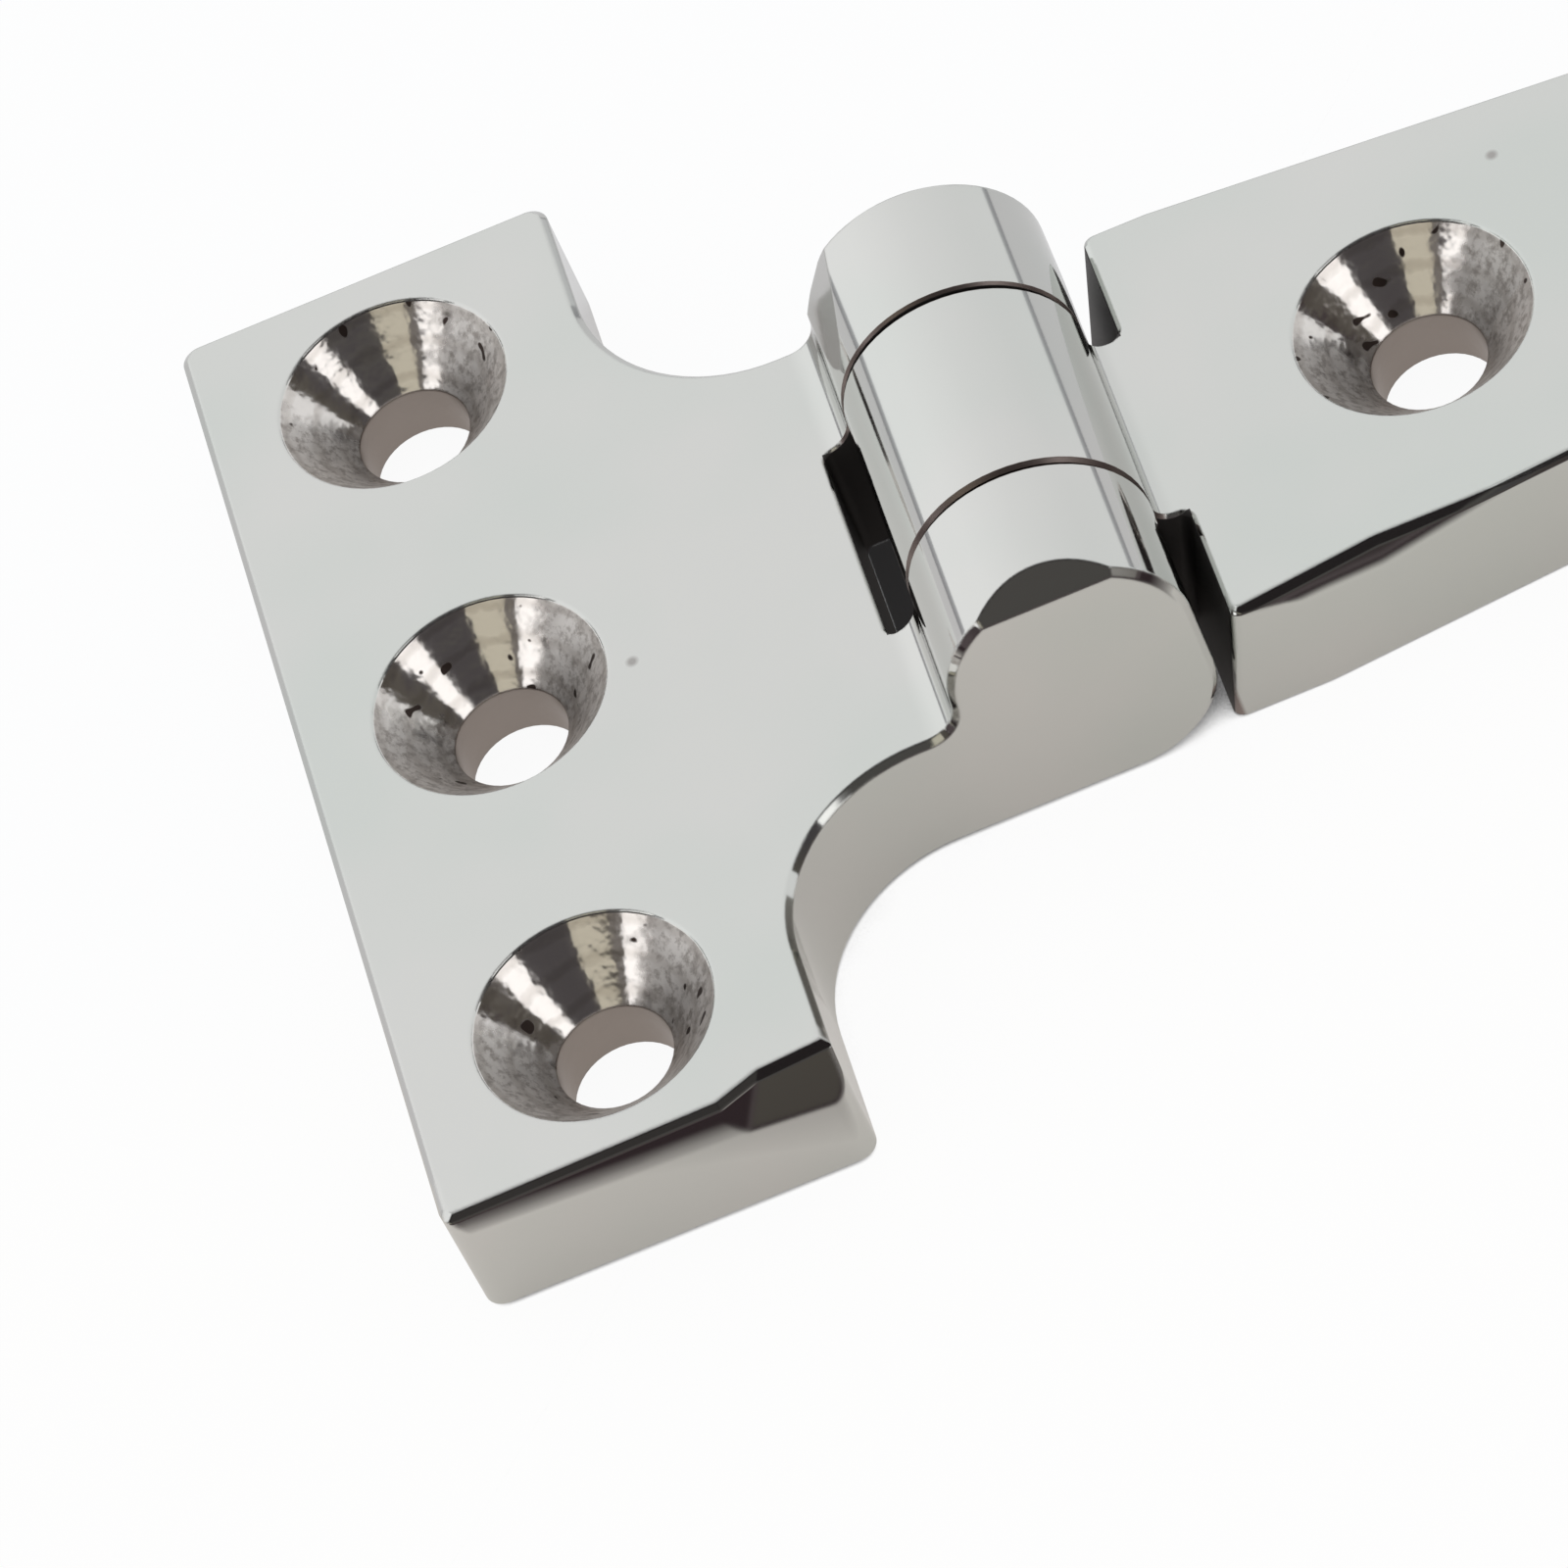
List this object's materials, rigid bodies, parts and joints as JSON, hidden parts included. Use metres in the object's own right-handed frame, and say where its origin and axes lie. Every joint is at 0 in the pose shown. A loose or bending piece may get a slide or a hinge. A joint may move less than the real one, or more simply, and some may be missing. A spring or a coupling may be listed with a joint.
{
  "type": "tee hinge",
  "caption": "Surface-mounted tee hinge in mirror-polished cast stainless steel: a cross bar, a tapering strap and countersunk screw holes.",
  "frame": {"origin": "foot of the pin's axis on the mounting plane, midway along the knuckles, with the hinge laid open and flat", "axes": "+X out along the strap, Y along the pin, +Z away from the surface that the leaves are screwed to"},
  "size_m": [0.1111, 0.0584, 0.0152],
  "materials": {
    "polished_casting": "polished",
    "pin_steel": "polished"
  },
  "bodies": {
    "tee": {"tee_leaf": "polished_casting", "hinge_pin": "pin_steel"},
    "strap": {"strap_leaf": "polished_casting"}
  },
  "joints": [
    {"name": "strap_swing", "type": "hinge", "parent": "tee", "child": "strap", "pos_m": [0, 0, 0.0091], "axis": [0, -1, 0], "range_deg": [0, 180]}
  ]
}
